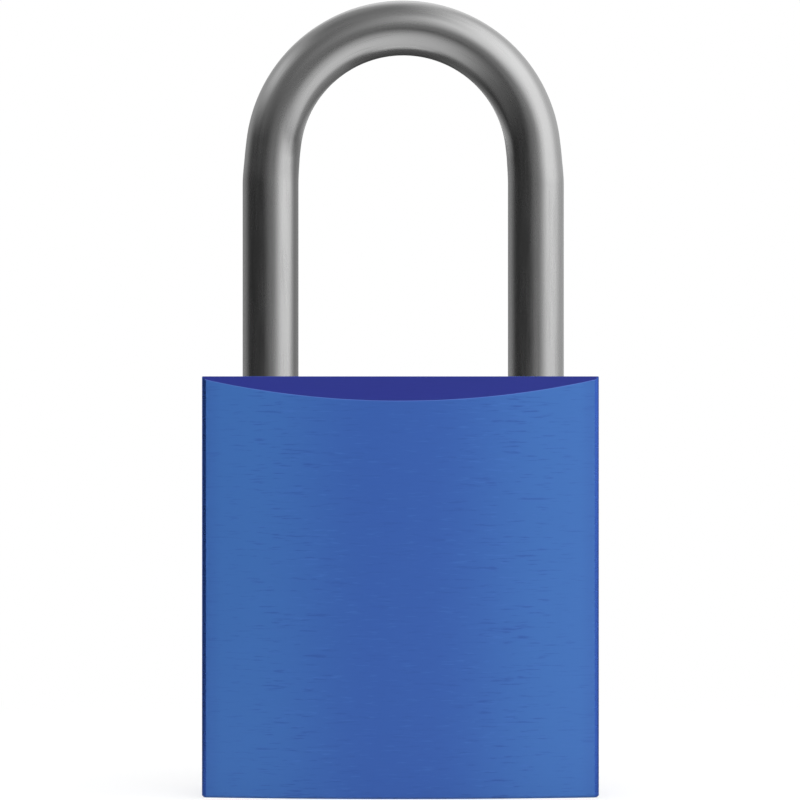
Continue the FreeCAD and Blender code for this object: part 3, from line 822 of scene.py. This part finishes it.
# soft panels on the dome: azimuth from the camera side towards +X, elevation, half sizes, softness, strength
panelInputs = ("Azimuth", "Elevation", "Half Width", "Half Height", "Soft Width", "Soft Height", "Strength")
panels = {
    "rightBox": (63, 9, 34, 46, 24, 24, 1.08),
    "rightTop": (73, 60, 43, 10, 30, 26, 0.86),
    "frontStrip": (2, 14, 12, 52, 23, 18, 0.23),
    "frontTop": (17, 38, 6, 16, 29, 11, 1.06),
    "leftHigh": (-89, 39, 26, 6, 20, 24, 1.14),
    "leftBack": (-150, 31, 36, 31, 23, 29, 0.43),
    "rightBack": (135, 33, 38, 39, 26, 25, 0.60),
    "top": (6, 82, 182, 19, 8, 12, 0.19),
    "backStrip": (180, 40, 18, 22, 14, 14, 0.45),
    "leftFront": (-34, 40, 26, 26, 8, 8, 0.15),
}

# fill lamps that light only matt surfaces: place, size, power
fills = {
    "frontFill": ((0.02, -0.30, 0.36), 0.30, 1.35),
    "leftFill": ((-0.48, -0.10, 0.20), 0.30, 1.6),
    "rightFill": ((0.48, -0.12, 0.20), 0.30, 1.3),
    "backFill": ((0.0, 0.45, 0.30), 0.30, 1.2),
    "underFill": ((0.10, -0.25, -0.40), 0.30, 1.6),
}


def makePanelGroup():
    # the panel's strength inside a box of azimuth and elevation, falling softly to 0 outside it
    group, tree, given, result = makeGroup(
        "softPanel",
        [(name, "NodeSocketFloat", 10.0) for name in panelInputs + ("Here Azimuth", "Here Elevation")],
        [("Light", "NodeSocketFloat")])
    light = given["Strength"]
    for here, middle, half, soft in (("Here Azimuth", "Azimuth", "Half Width", "Soft Width"),
                                     ("Here Elevation", "Elevation", "Half Height", "Soft Height")):
        turned = tree.math("SUBTRACT", given[here], given[middle])
        size = tree.math("ABSOLUTE", tree.math("WRAP", turned, 180.0, -180.0))
        low = tree.math("SUBTRACT", given[half], given[soft])
        high = tree.math("ADD", given[half], given[soft])
        light = tree.product(light, tree.ramp(size, low, high, 1.0, 0.0))
    tree.feed(result["Light"], light)
    return group


def makeDome():
    # half sphere of cloth round the set, lit from behind by the soft panels; the camera looks through it
    radius, columns = studio["domeRadius"], studio["domeColumns"]
    turn = np.linspace(0, 2 * np.pi, columns, endpoint=False)
    rise = np.linspace(0.0, math.radians(studio["domeTop"]), studio["domeRows"])[:, None]
    points = np.stack([radius * np.cos(rise) * np.cos(turn), radius * np.cos(rise) * np.sin(turn),
                       np.repeat(radius * np.sin(rise), columns, axis=1)], axis=-1)
    dome = addObject("lightDome", meshFromGrid("lightDome", points, capFirst=False))
    dome.visible_camera = False
    material = bpy.data.materials.new("domeCloth")
    material.use_nodes = True
    tree = Tree(material.node_tree)
    tree.nodes.clear()
    where = tree.split(tree.add("ShaderNodeTexCoord").outputs["Object"])
    azimuth = tree.math("DEGREES", tree.math("ARCTAN2", where["X"], tree.product(where["Y"], -1.0)))
    elevation = tree.math("DEGREES", tree.math("ARCSINE", tree.math("DIVIDE", where["Z"], radius)))
    group = makePanelGroup()
    total = studio["domeAmbient"]
    for panel in panels.values():
        values = {name.replace(" ", ""): value for name, value in zip(panelInputs, panel)}
        light = tree.group(group, HereAzimuth=azimuth, HereElevation=elevation, **values)["Light"]
        total = tree.math("ADD", light, total)
    glow = tree.add("ShaderNodeEmission", Strength=total)
    tree.add("ShaderNodeOutputMaterial", Surface=glow.outputs[0])
    dome.data.materials.append(material)


def makeFills():
    for name, (place, size, power) in fills.items():
        data = bpy.data.lights.new(name, "AREA")
        data.size, data.energy = size, power
        lamp = bpy.data.objects.new(name, data)
        bpy.context.scene.collection.objects.link(lamp)
        lamp.location = place
        aim = Vector(studio["lampAim"]) - lamp.location
        lamp.rotation_euler = aim.to_track_quat("-Z", "Y").to_euler()
        lamp.visible_camera = False
        lamp.visible_glossy = False


def addPool(tree, place):
    # the floor's painted glow, as the steel mirrors it, as set in pool
    where = tree.split(place)
    aside = tree.math("ABSOLUTE", where["X"])
    away = tree.math("DIVIDE", tree.vector("DISTANCE", place, pool["centre"]), pool["radius"])
    fall = tree.math("ADD", tree.math("POWER", away, pool["falloff"]), 1.0)
    level = tree.math("DIVIDE", pool["level"], fall)
    shade = tree.product(tree.ramp(where["Y"], *pool["shade"]), tree.ramp(aside, *pool["shadeAside"]))
    level = tree.product(level, tree.math("SUBTRACT", 1.0, shade), tree.ramp(where["X"], *pool["left"]),
                         tree.ramp(where["X"], *pool["right"]))
    behind = tree.math("ADD", tree.ramp(where["Y"], *pool["back"]), tree.ramp(where["Y"], *pool["farBack"]))
    slant = tree.math("DIVIDE", aside, tree.math("MAXIMUM", where["Y"], mm))
    level = tree.math("MAXIMUM", level, tree.product(behind, tree.ramp(slant, *pool["strip"])))
    return tree.math("MAXIMUM", level, tree.ramp(where["Y"], *pool["white"]))


def makeFloor():
    # pale floor; the camera sees it go over to pure white away from the lock, and the steel mirrors the
    # painted pools of light and painted shadow on it. Rings from just inside the lock's own outline, where it
    # is open, out to a circle; seen from below it is clear, so the underside shows and is lit through the
    # opening
    plan, normal = bodyOutline((bodyHigh.x - bodyLow.x) / 2, (bodyHigh.y - bodyLow.y) / 2, bodyLook)[:2]
    inner = plan - normal * studio["floorInset"]
    outwards = inner / np.linalg.norm(inner, axis=1, keepdims=True)
    share = np.array(studio["floorRings"])[:, None, None]
    rings = inner + share * (outwards * studio["floorRadius"] - inner)
    points = np.concatenate([rings, np.full(rings.shape[:2] + (1,), -studio["floorDrop"])], -1)
    mesh = meshFromGrid("floor", points, capFirst=False, capLast=False)
    if mesh.polygons[0].normal.z < 0:
        mesh.flip_normals()
    floor = addObject("floor", mesh)
    material, tree, shader = newMaterial("paleFloor")
    shader.inputs["Base Color"].default_value = studio["floorColour"]
    shader.inputs["Roughness"].default_value = studio["floorRoughness"]
    place = tree.add("ShaderNodeTexCoord").outputs["Object"]
    white = tree.ramp(tree.vector("LENGTH", place), *studio["floorWhite"])
    rays = tree.add("ShaderNodeLightPath").outputs
    mirrored = tree.math("MAXIMUM", rays["Is Glossy Ray"], rays["Is Transmission Ray"])
    glowing = tree.math("MAXIMUM", tree.product(rays["Is Camera Ray"], white), mirrored)
    # the camera sees plain white; the steel sees the painted glow of the pools
    strength = tree.math("MAXIMUM", rays["Is Camera Ray"], addPool(tree, place))
    glow = tree.add("ShaderNodeEmission", Strength=strength)
    above = tree.mixShaders(glowing, shader.outputs[0], glow.outputs[0])
    clear = tree.add("ShaderNodeBsdfTransparent").outputs[0]
    isBelow = tree.add("ShaderNodeNewGeometry").outputs["Backfacing"]
    tree.feed(tree.nodes["Material Output"].inputs["Surface"], tree.mixShaders(isBelow, above, clear))
    floor.data.materials.append(material)


def makeWorld():
    # white to the camera; the dome hides it from all of the lock but the underside, whose brass
    # mirrors it going darker straight down
    world = bpy.data.worlds.new("studioWorld")
    bpy.context.scene.world = world
    world.use_nodes = True
    tree = Tree(world.node_tree)
    back = tree.nodes["Background"]
    back.inputs["Color"].default_value = (1, 1, 1, 1)
    where = tree.split(tree.add("ShaderNodeTexCoord").outputs["Object"])
    rays = tree.add("ShaderNodeLightPath").outputs
    across = tree.math("ADD", where["Z"], tree.product(where["X"], studio["nadirSlant"]))
    mirrored = tree.product(rays["Is Glossy Ray"], tree.ramp(across, *studio["nadir"]))
    seen = tree.math("MAXIMUM", rays["Is Camera Ray"], rays["Is Transmission Ray"])
    seen = tree.math("MAXIMUM", seen, mirrored)
    tree.feed(back.inputs["Strength"], tree.math("MAXIMUM", seen, studio["underLight"]))


def makeCamera():
    data = bpy.data.cameras.new("camera")
    data.lens = studio["lens"]
    data.sensor_width = studio["sensorWidth"]
    data.clip_start, data.clip_end = studio["clip"]
    camera = bpy.data.objects.new("camera", data)
    bpy.context.scene.collection.objects.link(camera)
    camera.location = (studio["cameraAside"], -studio["cameraDistance"], studio["cameraHeight"])
    camera.rotation_euler = (math.radians(90), 0, 0)
    bpy.context.scene.camera = camera


# Putting it together.

makeCamera()
makeWorld()
makeDome()
makeFills()
makeFloor()
bpy.context.scene.view_settings.view_transform = "Standard"
print("studio set")

lockBody = makeLockBody()
lockBody.data.materials.append(makeAnodised())
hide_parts("lock_body")
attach(lockBody, "body")
lockBody.visible_glossy = False    # so that the steel has no blue cast from the body
print("lock body made:", len(lockBody.data.polygons), "faces")

shackle = makeShackle()
shackle.data.materials.append(makeSteel("shackle"))
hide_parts("shackle")
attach(shackle, "shackle")
shackle.visible_glossy = False     # its legs don't show as thin lines in each other
print("shackle made:", len(shackle.data.polygons), "faces")

# a piece takes the finish with the longest key that its name starts with
finishes = {
    "plug": makeBrass("plugBrass", keyway=True),
    "cylinder_housing": makeBrass("housingBrass"),
    "key_pin": makeBrass("pinBrass", keyway=True),
    "chamber_cap": makeBrass("capBrass"),
    "driver_pin": makeSteel("ground"),
    "locking_cam": makeSteel("zinc"),
    "plug_clip": makeSteel("springWire"),
    "cylinder_screw": makeSteel("zinc"),
    "heel_ball": makeSteel("polished"),
    "toe_ball": makeSteel("polished"),
}
for name, node in frame["nodes"].items():
    finish = max((key for key in finishes if name.startswith(key)), key=len, default=None)
    if finish:
        node.data.materials.clear()
        node.data.materials.append(finishes[finish])
    node.visible_glossy = False    # the shut-in pieces don't show in the steel either
print("inner pieces finished:", len(finishes), "finishes")

springWire = makeSteel("springWire")
coils = [makeSpring("shackle_spring", "shackle")]
for name in sorted(frame["nodes"]):
    if name.startswith("pin_spring"):
        coils.append(makeSpring(name, "pin"))
for coil in coils:
    coil.data.materials.append(springWire)
    coil.visible_glossy = False
    if coil.name.startswith("pin_spring"):
        number = coil.name.split("_")[2]
        pressWithDriver(coil)
print("springs made:", len(coils))
